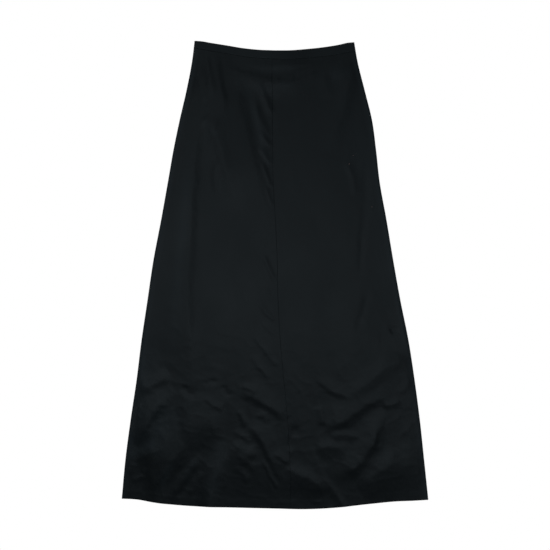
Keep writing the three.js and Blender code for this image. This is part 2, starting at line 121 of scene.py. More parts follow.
# Folds of the front. Each has its height (a trough is below 0), the width of its slope to the left and to the
# right of the way it runs, and the places that it runs through (x, down).
lowerFolds = [
    # right side: the big band, its hook and two ripples in the pocket under it
    (3.5, 34, 14, [(90, 808), (122, 806), (143, 800), (158, 789), (188, 767), (219, 751), (248, 744)]),
    (1.4, 5, 12, [(94, 766), (99, 788), (104, 808)]),
    (1.6, 9, 11, [(112, 829), (147, 829), (178, 834)]),
    (2.2, 14, 22, [(84, 858), (118, 853), (156, 863)]),
    # the band that turns round the pocket, a steeper step at its top, and the plates between it and the hem
    (3.6, 28, 18, [(112, 913), (150, 904), (171, 892), (191, 868), (206, 843), (216, 813), (234, 786)]),
    (1.3, 26, 9, [(190, 878), (204, 850), (214, 820), (222, 796), (234, 776)]),
    (3.2, 22, 52, [(172, 938), (206, 917), (234, 893), (256, 856)]),
    (1.8, 30, 60, [(196, 912), (240, 894), (280, 880), (322, 872)]),
    (2.9, 16, 28, [(20, 903), (50, 914), (80, 926), (112, 950)]),
    # steps above the big band, with two wide low swells under them
    (1.2, 16, 7, [(86, 710), (111, 730), (131, 743), (164, 748)]),
    (2.7, 18, 17, [(150, 748), (176, 732), (204, 709), (232, 688), (262, 672), (286, 664)]),
    (1.7, 110, 100, [(10, 622), (90, 628), (170, 632), (262, 622)]),
    (1.5, 40, 110, [(206, 722), (250, 708), (294, 700)]),
    (1.1, 9, 8, [(226, 768), (246, 762), (266, 757)]),
    # small creases at the side seam and beside the centre seam
    (0.7, 9, 12, [(276, 806), (283, 845), (276, 886)]),
    (0.8, 10, 10, [(258, 742), (274, 728), (285, 711)]),
    (-1.3, 10, 8, [(44, 806), (35, 834), (27, 862)]),
    (1.3, 8, 6, [(-2, 864), (15, 878), (31, 888)]),
    (-1.1, 8, 8, [(242, 612), (258, 604)]),
    # left side: the steps that come in from the edge, the arch over the hem and the broad drop beside it
    (2.2, 22, 12, [(-286, 738), (-262, 724), (-240, 712), (-220, 699)]),
    (4.4, 20, 54, [(-206, 736), (-234, 754), (-254, 774), (-270, 800), (-283, 826), (-298, 850)]),
    (1.6, 8, 30, [(-226, 752), (-246, 774), (-258, 792), (-267, 806), (-278, 822), (-294, 840)]),
    (4.6, 96, 84, [(-184, 892), (-203, 874), (-222, 864), (-244, 861), (-266, 864), (-292, 868)]),
    (0.7, 20, 22, [(-246, 858), (-268, 866), (-290, 870), (-316, 872)]),
    (3.0, 40, 84, [(-104, 806), (-124, 806), (-145, 806), (-165, 806), (-184, 807), (-204, 809)]),
    # small creases at the left edge
    (1.2, 8, 7, [(-306, 790), (-292, 776), (-281, 762)]),
    (-0.6, 8, 8, [(-306, 752), (-296, 742), (-282, 736)]),
    (0.8, 7, 6, [(-298, 926), (-286, 919), (-276, 913)]),
    (0.9, 8, 8, [(-312, 910), (-302, 898), (-294, 884)]),
    # ridges and a trough that fan out to the hem
    (1.8, 10, 10, [(-222, 968), (-200, 930), (-180, 903), (-158, 868)]),
    (-1.0, 11, 11, [(-206, 962), (-182, 925), (-160, 890)]),
    (0.9, 8, 8, [(-182, 956), (-164, 926), (-148, 906), (-136, 886)]),
    # the middle: a crumpled patch beside the centre seam, and the long fold that crosses the seam
    (2.6, 16, 34, [(-92, 846), (-76, 856), (-60, 866), (-44, 882)]),
    (1.3, 8, 7, [(-76, 776), (-67, 790), (-62, 812)]),
    (0.8, 8, 7, [(-84, 818), (-65, 832), (-50, 845)]),
    (0.9, 9, 8, [(-80, 866), (-60, 886), (-42, 906)]),
    (0.9, 8, 8, [(-84, 893), (-67, 911), (-52, 927)]),
    (2.1, 26, 9, [(-60, 806), (-44, 820), (-30, 834), (-14, 866), (2, 900), (20, 944)]),
    (1.3, 5, 4, [(-27, 880), (-10, 914), (6, 944)]),
    (1.9, 22, 11, [(-76, 733), (-40, 750), (2, 778), (24, 801)]),
    (0.9, 7, 6, [(-72, 722), (-52, 730), (-36, 740)]),
    (0.9, 9, 8, [(-40, 784), (-25, 791), (-12, 803)]),
    # where the smooth cloth ends
    (-0.9, 8, 8, [(-108, 726), (-97, 750)]),
    (-0.6, 15, 15, [(-200, 728), (-170, 733), (-136, 738)]),
    (-1.1, 8, 8, [(-192, 722), (-184, 740), (-164, 746)]),
    (-0.8, 7, 7, [(-150, 722), (-134, 716), (-118, 720)]),
    (0.9, 9, 6, [(-150, 748), (-128, 765), (-105, 774)]),
]
upperFolds = [
    # creases under the waistband, each with its steep side towards the waist
    (1.6, 7, 15, [(-110, 36), (-84, 42), (-52, 48), (-21, 51), (11, 46), (42, 47), (74, 45), (105, 40),
                  (137, 32)]),
    (3.4, 11, 26, [(-128, 48), (-84, 66), (-52, 75), (-21, 84), (11, 88), (48, 80), (92, 62)]),
    (2.0, 9, 24, [(40, 74), (76, 66), (105, 61), (137, 54), (176, 46)]),
    # the valley beside the centre seam: a broad slope on its left and a short one on its right
    (1.8, 21, 44, [(-76, 60), (-77, 120), (-70, 160), (-54, 220), (-32, 310), (-6, 410)]),
    (0.9, 12, 14, [(-46, 96), (-38, 145), (-26, 200), (-12, 262)]),
    # creases from the band's left end, the broad swell of the hip and the long fold down the left side
    (1.6, 9, 14, [(-148, 30), (-141, 58), (-134, 88), (-128, 118)]),
    (1.3, 9, 18, [(-128, 32), (-120, 68), (-112, 112), (-106, 158)]),
    (5.2, 70, 42, [(-136, 0), (-136, 70), (-130, 140), (-116, 210), (-94, 290), (-66, 360)]),
    (1.0, 8, 14, [(-160, 76), (-153, 104), (-144, 130)]),
    (1.1, 15, 18, [(-149, 158), (-137, 172), (-120, 184)]),
    (1.1, 15, 12, [(-154, 160), (-130, 188), (-116, 219), (-104, 272), (-86, 312)]),
    (0.9, 9, 8, [(-120, 253), (-126, 290), (-124, 322)]),
    (3.0, 13, 46, [(-152, 90), (-162, 183), (-172, 293), (-178, 398), (-184, 524), (-182, 640), (-176, 726)]),
    # the right hip
    (1.5, 17, 34, [(164, 58), (154, 98), (140, 156), (112, 236)]),
    (0.8, 14, 20, [(98, 70), (108, 96), (120, 122)]),
    (-1.0, 9, 8, [(195, 246), (190, 324), (184, 410), (174, 511)]),
    (-1.1, 9, 9, [(198, 526), (186, 570), (170, 612)]),
    (0.8, 9, 8, [(150, 250), (166, 292), (168, 330)]),
]
# Short puckers that end on the centre-front seam, in the same kind of rows
seamPuckers = [
    (1.6, 9, 9, [(-36, 84), (-22, 118), (-6, 158)]),
    (0.8, 9, 9, [(-44, 134), (-28, 170), (-8, 206)]),
    (0.8, 7, 6, [(-31, 192), (-20, 208), (-9, 224)]),
    (0.9, 8, 6, [(-32, 222), (-21, 243), (-8, 262)]),
    (0.8, 6, 5, [(-27, 254), (-17, 284), (-6, 312)]),
    (0.6, 5, 4, [(-20, 304), (-12, 330), (-4, 350)]),
    (1.2, 7, 5, [(-26, 448), (-14, 476), (2, 512)]),
    (0.5, 5, 4, [(-22, 516), (-12, 534), (2, 547)]),
    (0.8, 7, 5, [(-36, 548), (-18, 572), (3, 590)]),
    (0.6, 6, 5, [(-27, 590), (-14, 606), (5, 622)]),
    (0.6, 8, 5, [(-48, 616), (-28, 642), (-4, 664)]),
    (0.6, 6, 5, [(-26, 648), (-11, 666), (8, 682)]),
    (0.6, 8, 6, [(-52, 660), (-30, 688), (-6, 712)]),
]
# Ridges that grow towards the hem and run out through it
hemFolds = [
    (8.0, 24, 24, [(-110, 842), (-114, 868), (-122, 900), (-129, 926), (-134, 952), (-136, 984)]),
    (3.4, 15, 28, [(-206, 872), (-219, 893), (-230, 918), (-238, 948), (-240, 984)]),
    (2.0, 8, 12, [(76, 850), (92, 893), (106, 924), (128, 952), (150, 984)]),
]
# Painted highlights: streaks where the satin's colour is made lighter to stand in for its sheen, in rows like
# those of the folds, with a strength in the place of the height
paintedHighlights = [
    (0.3, 15, 15, [(-108, 830), (-112, 850), (-119, 880), (-126, 910), (-131, 945), (-134, 990)]),
    (0.5, 40, 34, [(-216, 745), (-238, 800), (-250, 836), (-264, 872)]),
    (0.5, 26, 16, [(-262, 590), (-272, 650), (-281, 710), (-291, 770), (-299, 820), (-305, 870),
                   (-311, 915)]),
    (0.26, 22, 40, [(190, 130), (204, 220), (214, 310), (234, 410), (248, 500), (262, 600)]),
    (0.5, 10, 10, [(-312, 876), (-288, 864), (-262, 850), (-250, 846)]),
    (0.4, 9, 9, [(-208, 876), (-222, 898), (-232, 918), (-240, 950)]),
    (0.3, 8, 8, [(-160, 870), (-176, 896), (-194, 930)]),
    (0.35, 16, 16, [(112, 74), (136, 70), (166, 62)]),
    (0.22, 50, 40, [(120, 40), (150, 130), (176, 220), (190, 330)]),
    (0.24, 9, 9, [(-70, 86), (-21, 100), (10, 96), (50, 82)]),
    (0.18, 6, 6, [(-50, 55), (0, 58), (50, 55)]),
    (0.35, 9, 9, [(-64, 90), (-44, 150), (-28, 210), (-10, 280)]),
    (0.3, 9, 9, [(-156, 162), (-138, 184), (-120, 200)]),
    (0.4, 15, 15, [(-168, 200), (-186, 320), (-198, 440), (-208, 560), (-214, 680)]),
]
# Shallow folds of the back, which the skirt's own weight has pressed flat
backFolds = [
    (0.9, 12, 7, [(-236, 770), (-180, 792), (-118, 781)]),
    (0.9, 8, 14, [(-262, 905), (-214, 866), (-196, 812)]),
    (0.7, 9, 9, [(-82, 930), (-66, 858), (-20, 800)]),
    (0.9, 14, 8, [(42, 800), (104, 824), (170, 806), (226, 758)]),
    (0.8, 8, 12, [(120, 944), (168, 902), (196, 842)]),
    (0.7, 9, 7, [(222, 934), (262, 880), (284, 820)]),
    (0.6, 10, 10, [(8, 420), (30, 520), (16, 640)]),
    (0.6, 12, 12, [(-130, 300), (-156, 420), (-150, 560)]),
    (0.6, 12, 12, [(138, 260), (160, 380), (172, 520)]),
]


def smoothPath(places, steps=6):
    p = np.array([places[0], *places, places[-1]], float)
    line = []
    for i in range(1, len(p) - 2):
        a, b, c, d = p[i - 1:i + 3]
        for t in np.arange(steps) / steps:
            line.append(0.5 * (2 * b + (c - a) * t + (2 * a - 5 * b + 4 * c - d) * t**2
                               + (3 * b - 3 * c + d - a) * t**3))
    return np.array([*line, p[-1]])


# From 1 on a fold's line almost straight down to 0 at the foot of its slope, with a round crest and foot
def slopeDown(t, crest=0.2, foot=5):
    t = np.sqrt(t * t + crest * crest) - crest
    return np.logaddexp(0, (1 - t) * foot) / np.logaddexp(0, foot)


foldEnds = 0.28  # share of a fold's run in which it rises from each of its ends


# The relief that folds give at each place, from the distance to each fold's line. A fold that runs out
# grows all the way to its end.
def relief(folds, x, down, runsOut=False):
    total = np.zeros_like(x)
    for height, leftWidth, rightWidth, places in folds:
        line = smoothPath(places)
        reach = 2 * max(leftWidth, rightWidth)
        low, high = line.min(0) - reach, line.max(0) + reach
        near = (x > low[0]) & (x < high[0]) & (down > low[1]) & (down < high[1])
        if not near.any():
            continue
        px, pd = x[near], down[near]
        best = np.full(px.shape, 1e9)
        signed = np.zeros(px.shape)
        place = np.zeros(px.shape)
        count = len(line) - 1
        for k in range(count):
            (ax, ad), (bx, bd) = line[k], line[k + 1]
            dx, dd = bx - ax, bd - ad
            along = np.clip(((px - ax) * dx + (pd - ad) * dd) / (dx * dx + dd * dd), 0, 1)
            offX, offD = px - ax - along * dx, pd - ad - along * dd
            distance = np.hypot(offX, offD)
            closer = distance < best
            best = np.where(closer, distance, best)
            signed = np.where(closer, dx * offD - dd * offX, signed)
            place = np.where(closer, (k + along) / count, place)
        width = np.where(signed > 0, rightWidth, leftWidth)
        taper = place if runsOut else smooth(place, 0, foldEnds) * smooth(1 - place, 0, foldEnds)
        total[near] += height * taper * slopeDown(best / width)
    return total


# Lengths of the cloth's waves across and down, mm
waveSizes = {"broad": (62, 96), "fine": (17, 24), "crease": (34, 30), "smallCrease": (15, 13)}


def noiseAt(x, down, size, seed):
    places = zip((x / size[0]).flat, (down / size[1]).flat)
    return np.array([noise.noise(Vector((a, d, seed))) for a, d in places]).reshape(x.shape)


# Small uneven waves in the cloth; seed picks a different patch for each piece
def unevenness(x, down, seed):
    broad = noiseAt(x, down, waveSizes["broad"], seed)
    fine = noiseAt(x, down, waveSizes["fine"], seed + 7)
    return 0.7 * broad + 0.3 * fine


# Sharp little creases, where the noise crosses 0
def crumple(x, down, seed, sharpness=2.4):
    crease = 1 - abs(noiseAt(x, down, waveSizes["crease"], seed)) * sharpness
    small = 1 - abs(noiseAt(x, down, waveSizes["smallCrease"], seed + 3)) * sharpness
    return 0.65 * np.maximum(crease, 0) ** 2 + 0.35 * np.maximum(small, 0) ** 2


lay = {
    "restPuff": 0.9,  # how far the front lies above the back near the waist, mm
    "creasedPuff": 5.0,  # at its highest
    "hemPuff": 0.8,  # and at the hem
    "risesFrom": 320,  # the front rises between these two
    "risesFull": 670,
    "sink": 1.5,  # comes down again by this between the next two
    "sinksFrom": 610,
    "sinksTo": 850,
    "hemSlope": 95,  # and comes down to the hem over this distance
    "creasesFrom": 470,  # the cloth grows ever more uneven between these two
    "creasesFull": 790,
    "unevenUpper": 0.36,
    "unevenLower": 0.9,
    "crumple": 0.5,
    "crumpleMean": 0.35,
    "wander": 4.0,  # how far a fold's line wanders from its places, mm
    "wanderCloseness": (2.2, 3.2),  # how many times closer its waves are than the cloth's, across and down
    "edgeStep": 0.2,  # share of the lift that the folded side edge takes at once, over the roll
    "edgeRoll": 8,
    "edgeEase": 115,
    "edgeShut": 5,  # all of the lift is gone at the side edge, over this distance
    "foldEase": 16,  # folds fade out at the side edges over this distance
    "foldFade": 30,  # and start to fade this far from the hem, where half of their height is left
    "least": 0.15,  # the front never comes closer to the back
}
plateau = {"across": 5.5, "down": 14}  # how far from the zip slider the cloth is lifted in full
spread = {"across": 92, "down": 110}  # and how far at all


def zipBump(x, down):
    below = down - waistLine[0, 1]
    across = 1 - smooth(np.abs(x), plateau["across"], spread["across"])
    return skirt["zipLift"] * across * (1 - smooth(below, plateau["down"], spread["down"]))


# How far the front lies above the back: the broad lift of the whole panel, then the folds and the small waves
def frontLift(x, down, fromEdge, fromHem, seed):
    risen = smooth(down, lay["risesFrom"], lay["risesFull"])
    sunk = smooth(down, lay["sinksFrom"], lay["sinksTo"])
    puff = lay["restPuff"] + (lay["creasedPuff"] - lay["restPuff"]) * risen - lay["sink"] * sunk
    puff = lay["hemPuff"] + (puff - lay["hemPuff"]) * smooth(fromHem, 0, lay["hemSlope"])
    step = lay["edgeStep"]
    eased = step * smooth(fromEdge, 0, lay["edgeRoll"]) + (1 - step) * smooth(fromEdge, 0, lay["edgeEase"])

    closeX, closeDown = lay["wanderCloseness"]
    driftX, driftDown = (lay["wander"] * unevenness(x * closeX, down * closeDown, seed + k) for k in (40, 50))
    shape = relief(lowerFolds + upperFolds, x + driftX, down + driftDown) + relief(seamPuckers, x, down)
    shape = shape * smooth(fromHem, -lay["foldFade"], lay["foldFade"])
    shape += relief(hemFolds, x + driftX, down, runsOut=True)

    creased = smooth(down, lay["creasesFrom"], lay["creasesFull"])
    uneven = lay["unevenUpper"] + creased * (lay["unevenLower"] - lay["unevenUpper"])
    shape += uneven * unevenness(x, down, seed)
    shape += lay["crumple"] * creased * (crumple(x, down, seed + 20) - lay["crumpleMean"])

    above = puff * eased + shape * smooth(fromEdge, 0, lay["foldEase"]) - lay["least"]
    above = lay["least"] + np.logaddexp(0, above * 3) / 3  # a soft stop, so that no crease shows there
    return above * smooth(fromEdge, 0, lay["edgeShut"])


def meshPiece(name, points, faces, material, shine=None):
    mesh = bpy.data.meshes.new(name)
    mesh.from_pydata(points, [], faces)
    mesh.validate()
    for face in mesh.polygons:
        face.use_smooth = True
    mesh.materials.append(material)
    # the painted highlight mask, kept as a point attribute for the material
    if shine is not None:
        mesh.attributes.new("shine", "FLOAT", "POINT").data.foreach_set("value", shine)
    piece = bpy.data.objects.new(name, mesh)
    bpy.context.scene.collection.objects.link(piece)
    return piece


# A closed sheet between an upper and a lower grid of points, each rows by columns by 3, in millimetres
def clothPiece(name, upper, lower, material, turned=False, shine=None):
    rows, columns = upper.shape[:2]
    points = np.concatenate([upper.reshape(-1, 3), lower.reshape(-1, 3)]) * mm
    grid = np.arange(rows * columns).reshape(rows, columns)
    under = grid + rows * columns
    a, b, c, d = grid[:-1, :-1], grid[1:, :-1], grid[1:, 1:], grid[:-1, 1:]
    quads = [np.stack([a, b, c, d], -1).reshape(-1, 4)]
    a, b, c, d = under[:-1, :-1], under[:-1, 1:], under[1:, 1:], under[1:, :-1]
    quads.append(np.stack([a, b, c, d], -1).reshape(-1, 4))
    quads.append(np.stack([grid[:-1, 0], under[:-1, 0], under[1:, 0], grid[1:, 0]], -1))
    quads.append(np.stack([grid[:-1, -1], grid[1:, -1], under[1:, -1], under[:-1, -1]], -1))
    quads.append(np.stack([grid[0, :-1], grid[0, 1:], under[0, 1:], under[0, :-1]], -1))
    quads.append(np.stack([grid[-1, :-1], under[-1, :-1], under[-1, 1:], grid[-1, 1:]], -1))
    faces = np.concatenate(quads)
    if turned:
        faces = faces[:, ::-1]
    shine = np.zeros(rows * columns) if shine is None else shine.ravel()
    return meshPiece(name, points.tolist(), faces.tolist(), material, np.concatenate([shine, shine]))


# Colours are linear
satinLook = {
    "dark": (0.0062, 0.0082, 0.0094, 1),
    "light": (0.0105, 0.0135, 0.0152, 1),
    "roughness": 0.48,
    "roughnessSpread": 0.07,
    "thread": 0.42,  # mm
    "weaveDepth": 0.02,
    "crinkleDepth": 0.16,
    "mottle": (14, 3, (1, 0.6, 1)),  # scale, detail and stretch of the noise
    "crinkle": (95, 4, (1, 0.55, 1)),
    "threadScale": 0.16,  # what one thread per metre is in the wave texture's own scale
    "weaveStrength": 0.5,
    "specular": 0.4,
    "sheen": 0.06,
    "sheenRoughness": 0.4,
    "sheenTint": (0.75, 0.9, 1, 1),
    "bandLift": 1.35,  # the pressed band is brighter than the panels, and more crinkled
    "bandCrinkle": 1.6,
    "paintedHighlightLift": 2.4,  # painted highlights on the side edges and in streaks use the light colour made brighter by this
    "paintedEdgeHighlight": 16,  # width of the painted highlight along the side edges, mm, and how fast it fades
    "paintedEdgeHighlightFade": 1.4,
}


# Satin weave, soft mottling and fine crinkles from a place on the cloth
def weaveGroup():
    tree = bpy.data.node_groups.new("satinWeave", "ShaderNodeTree")
    tree.interface.new_socket("Place", in_out="INPUT", socket_type="NodeSocketVector")
    threads = tree.interface.new_socket("Threads per metre", in_out="INPUT", socket_type="NodeSocketFloat")
    threads.default_value = 1000 / satinLook["thread"]
    for name in ("Mottle", "Crinkle", "Weave"):
        tree.interface.new_socket(name, in_out="OUTPUT", socket_type="NodeSocketFloat")
    nodes, link = tree.nodes, tree.links.new
    start, end = nodes.new("NodeGroupInput"), nodes.new("NodeGroupOutput")

    def cloud(scale, detail, stretch):
        mapping = nodes.new("ShaderNodeMapping")
        mapping.inputs["Scale"].default_value = stretch
        link(start.outputs["Place"], mapping.inputs["Vector"])
        field = nodes.new("ShaderNodeTexNoise")
        field.inputs["Scale"].default_value = scale
        field.inputs["Detail"].default_value = detail
        link(mapping.outputs["Vector"], field.inputs["Vector"])
        return field.outputs["Fac"]

    link(cloud(*satinLook["mottle"]), end.inputs["Mottle"])
    link(cloud(*satinLook["crinkle"]), end.inputs["Crinkle"])

    # long floats of the warp, each row set off from the next
    wave = nodes.new("ShaderNodeTexWave")
    wave.bands_direction = "DIAGONAL"
    wave.inputs["Distortion"].default_value = 1.5
    wave.inputs["Detail"].default_value = 1
    link(start.outputs["Place"], wave.inputs["Vector"])
    count = nodes.new("ShaderNodeMath")
    count.operation = "MULTIPLY"
    count.inputs[1].default_value = satinLook["threadScale"]
    link(start.outputs["Threads per metre"], count.inputs[0])
    link(count.outputs["Value"], wave.inputs["Scale"])
    link(wave.outputs["Fac"], end.inputs["Weave"])
    return tree


def satin(name, weave, crinkle=1.0, lift=1.0):
    material = bpy.data.materials.new(name)
    material.use_nodes = True
    nodes, link = material.node_tree.nodes, material.node_tree.links.new
    shader = nodes["Principled BSDF"]
    place = nodes.new("ShaderNodeTexCoord")
    group = nodes.new("ShaderNodeGroup")
    group.node_tree = weave
    link(place.outputs["Object"], group.inputs["Place"])

    colour = nodes.new("ShaderNodeMix")
    colour.data_type = "RGBA"
    colour.inputs["A"].default_value = (*(c * lift for c in satinLook["dark"][:3]), 1)
    colour.inputs["B"].default_value = (*(c * lift for c in satinLook["light"][:3]), 1)
    link(group.outputs["Mottle"], colour.inputs["Factor"])
    # painted highlight: where the point attribute is set, a lighter colour stands in for the satin's sheen
    shine = nodes.new("ShaderNodeAttribute")
    shine.attribute_name = "shine"
    paintedHighlightMix = nodes.new("ShaderNodeMix")
    paintedHighlightMix.data_type = "RGBA"
    paintedHighlightMix.inputs["B"].default_value = (*(c * satinLook["paintedHighlightLift"] for c in satinLook["light"][:3]), 1)
    link(shine.outputs["Fac"], paintedHighlightMix.inputs["Factor"])
    link(colour.outputs["Result"], paintedHighlightMix.inputs["A"])
    link(paintedHighlightMix.outputs["Result"], shader.inputs["Base Color"])

    rough = nodes.new("ShaderNodeMapRange")
    rough.inputs["To Min"].default_value = satinLook["roughness"] - satinLook["roughnessSpread"]
    rough.inputs["To Max"].default_value = satinLook["roughness"] + satinLook["roughnessSpread"]
    link(group.outputs["Mottle"], rough.inputs["Value"])
    link(rough.outputs["Result"], shader.inputs["Roughness"])

    broad = nodes.new("ShaderNodeBump")
    broad.inputs["Distance"].default_value = satinLook["crinkleDepth"] * crinkle * mm
    link(group.outputs["Crinkle"], broad.inputs["Height"])
    fine = nodes.new("ShaderNodeBump")
    fine.inputs["Distance"].default_value = satinLook["weaveDepth"] * mm
    fine.inputs["Strength"].default_value = satinLook["weaveStrength"]
    link(group.outputs["Weave"], fine.inputs["Height"])
    link(broad.outputs["Normal"], fine.inputs["Normal"])
    link(fine.outputs["Normal"], shader.inputs["Normal"])
    shader.inputs["Specular IOR Level"].default_value = satinLook["specular"]
    shader.inputs["Sheen Weight"].default_value = satinLook["sheen"]
    shader.inputs["Sheen Roughness"].default_value = satinLook["sheenRoughness"]
    shader.inputs["Sheen Tint"].default_value = satinLook["sheenTint"]
    return material


# One colour with fine speckles that are darker and lighter than it by the share called contrast
def plainMaterial(name, colour, roughness, metallic=0.0, speckle=260, contrast=0.3):
    material = bpy.data.materials.new(name)
    material.use_nodes = True
    nodes, link = material.node_tree.nodes, material.node_tree.links.new
    shader = nodes["Principled BSDF"]
    place = nodes.new("ShaderNodeTexCoord")
    field = nodes.new("ShaderNodeTexNoise")
    field.inputs["Scale"].default_value = speckle
    link(place.outputs["Object"], field.inputs["Vector"])
    mix = nodes.new("ShaderNodeMix")
    mix.data_type = "RGBA"
    mix.inputs["A"].default_value = (*(c * (1 - contrast) for c in colour), 1)
    mix.inputs["B"].default_value = (*(c * (1 + contrast) for c in colour), 1)
    link(field.outputs["Fac"], mix.inputs["Factor"])
    link(mix.outputs["Result"], shader.inputs["Base Color"])
    shader.inputs["Roughness"].default_value = roughness
    shader.inputs["Metallic"].default_value = metallic
    return material


weave = weaveGroup()
panelSatin = satin("panelSatin", weave)
bandSatin = satin("bandSatin", weave, satinLook["bandCrinkle"], satinLook["bandLift"])
threadBlack = plainMaterial("threadBlack", (0.012, 0.014, 0.016), 0.7, speckle=900)
zipBlack = plainMaterial("zipBlack", (0.012, 0.012, 0.013), 0.34, 0.75)
lintPale = plainMaterial("lintPale", (0.34, 0.2, 0.18), 0.9, speckle=2000)
print("materials made")


# Distances from the middle seam across a panel of that width: close steps where its two edges roll over
def acrossStops(width, count):
    seamSteps = np.array([0, 0.35, 0.8, 1.4, 2, 2.6, 3.6])
    sideSteps = np.array([4.5, 3.2, 2.2, 1.4, 0.8, 0.35, 0.1, 0])
    start = skirt["seamSlit"] / 2 + seamSteps
    even = np.linspace(start[-1], width - sideSteps[0], count + 2)[1:-1]
    return np.concatenate([start, even, width - sideSteps])


# Shares of the way from the waist seam to the hem, with close steps at both ends too. With closer below 1 the
# rows between lie closer together towards the hem.
def downStops(length, count, closer):
    topSteps = np.array([0, 0.35, 0.8, 1.5, 2.6, 4])
    hemSteps = np.array([3.4, 2.2, 1.3, 0.6, 0.2, 0])
    start, end = topSteps / length, 1 - hemSteps / length
    even = np.linspace(0, 1, count + 2)[1:-1] ** closer
    return np.concatenate([start, start[-1] + even * (end[0] - start[-1]), end])


frontCut = {"columns": 104, "rows": 310, "closer": 0.88}
backCut = {"columns": 60, "rows": 170, "closer": 0.95}


# One panel's grid: x, down, and the distances from its seam, its side and the waist seam and to the hem
def panelGrid(side, front, cut):
    sign = -1 if side == "left" else 1
    seamDrop = skirt["seamSlit"] / 2 + (0 if front else skirt["backDrop"])
    topSide = lineAt(waistLine, 1, sign) + bandAt(sign) + seamDrop
    hemSide = lineAt(hemLine, 1, sign)
    length = skirt["length"] - bandAt(0) - waistLine[0, 1]
    grid = {key: [] for key in ("x", "down", "fromSeam", "fromSide", "fromTop", "toHem")}
    for share in downStops(length, cut["rows"], cut["closer"]):
        sideDown = topSide + (hemSide - topSide) * share
        middleDown = waistLine[0, 1] + bandAt(0) + (hemLine[0, 1] - waistLine[0, 1] - bandAt(0)) * share
        edge = float(edgeAt(side, sideDown))
        seam = float(seamAt(middleDown)) if front else 0.0
        width = edge - sign * seam
        stops = acrossStops(width, cut["columns"])
        x = seam + sign * stops
        out = np.clip(np.abs(x) / edge, 0, 1)
        top = lineAt(waistLine, out, x) + bandAt(out * np.sign(x)) + seamDrop
        hem = lineAt(hemLine, out, x)
        down = top + (hem - top) * share
        for key, value in zip(grid, (x, down, stops - stops[0], width - stops, down - top, hem - down)):
            grid[key].append(value)
    return {key: np.array(value) for key, value in grid.items()}


# Points in the frame's x, y and z, in millimetres
def pointsAt(x, down, height):
    return np.stack([x, skirt["length"] / 2 - down, height], -1)


# How edges roll over: the distance that each takes, mm, and the share of the wall left at the edge itself
frontRolls = {"fromSeam": (1.4, 0.9), "fromTop": (1.6, 0.72), "fromSide": (4.0, 0.12), "toHem": (1.6, 0.25)}
backRolls = {"fromSeam": (2.6, 0.5), "fromSide": (4.0, 0.55), "toHem": (1.6, 0.5)}
bandRolls = {"fromTop": (1.5, 0.3), "toSeam": (1.4, 0.75), "fromEnd": (3.0, 0.2)}


# The share of the wall that is left at each place, from its distances to the edges
def rolled(distances, rolls):
    left = 1.0
    for edge, (reach, least) in rolls.items():
        t = np.clip(distances[edge] / reach, 0, 1)
        left = np.minimum(left, least + (1 - least) * np.sqrt(1 - (1 - t) ** 2))
    return left


frontSeed = {"left": 1.5, "right": 5.5}
foldSoftness = 0.9  # half the width of the slope at the top of the turned-up hem, mm


# Height of a front panel's upper face, height of what it rests on, and the share of its wall that is left
def frontSurface(side, g):
    base = skirt["panelWall"] + skirt["seamGap"] + skirt["zipLiftFront"] * zipBump(g["x"], g["down"])
    lift = frontLift(g["x"], g["down"], g["fromSide"], g["toHem"], frontSeed[side])
    roll = rolled(g, frontRolls)
    foldTop = skirt["hemFold"]
    fold = skirt["hemStep"] * (1 - smooth(g["toHem"], foldTop - foldSoftness, foldTop + foldSoftness))
    fold *= smooth(g["toHem"], 0, frontRolls["toHem"][0])
    return base + lift + skirt["panelWall"] * roll + fold, base, roll


def frontPanel(side):
    g = panelGrid(side, True, frontCut)
    high, base, roll = frontSurface(side, g)
    low = high - skirt["shell"] * np.clip(roll, skirt["shellEdge"], 1)
    low = np.minimum(np.maximum(low, base - skirt["shellBelow"]), high - skirt["shellLeast"])
    upper, lower = (pointsAt(g["x"], g["down"], height) for height in (high, low))
    # painted highlight: a mask for lighter colour along the side edges and in streaks, standing in for sheen
    shine = np.clip(1 - g["fromSide"] / satinLook["paintedEdgeHighlight"], 0, 1) ** satinLook["paintedEdgeHighlightFade"]
    shine = np.clip(shine + relief(paintedHighlights, g["x"], g["down"]), 0, 1)
    return clothPiece(f"front{side.capitalize()}", upper, lower, panelSatin, side == "left", shine)


backSeed = {"left": 9.5, "right": 13.5}
backLay = {
    "height": 0.7,  # of its relief, mm
    "uneven": 0.25,
    "upper": 0.35,  # share of the relief that is left above the creases
    "sideEase": (4, 60),  # it fades out between these distances from the side, and from the hem
    "hemEase": (2, 60),
    "edgeTurn": 0.6,  # how much of what an edge loses it loses from below
}


# Heights of the upper and the lower face of a back panel
def backSurface(side, g):
    room = smooth(g["down"], lay["creasesFrom"], lay["creasesFull"])
    room = backLay["upper"] + (1 - backLay["upper"]) * room
    room *= smooth(g["fromSide"], *backLay["sideEase"]) * smooth(g["toHem"], *backLay["hemEase"])
    shape = backLay["uneven"] * unevenness(g["x"], g["down"], backSeed[side])
    shape = np.clip(relief(backFolds, g["x"], g["down"]) + shape, 0, 1) * room
    base = zipBump(g["x"], g["down"]) + backLay["height"] * shape
    low = base + (1 - rolled(g, backRolls)) * skirt["panelWall"] * backLay["edgeTurn"]
    return base + skirt["panelWall"], low


def backPanel(side):
    g = panelGrid(side, False, backCut)
    upper, lower = (pointsAt(g["x"], g["down"], height) for height in backSurface(side, g))
    return clothPiece(f"back{side.capitalize()}", upper, lower, panelSatin, side == "left")


bandCut = {
    "columns": 120,  # steps over one half-width
    "height": 18,  # the steps down are those of a band of this height, mm
    "fromTop": (0, 0.15, 0.5, 1, 1.8, 3.5, 6, 8.5, 11, 13.5, 15.5),
    "toSeam": (1.6, 0.9, 0.45, 0.15, 0),
    "rise": 0.15,  # the front band stands this far above its own wall, mm, and this uneven
    "uneven": 0.22,
    "seed": 17.5,
}


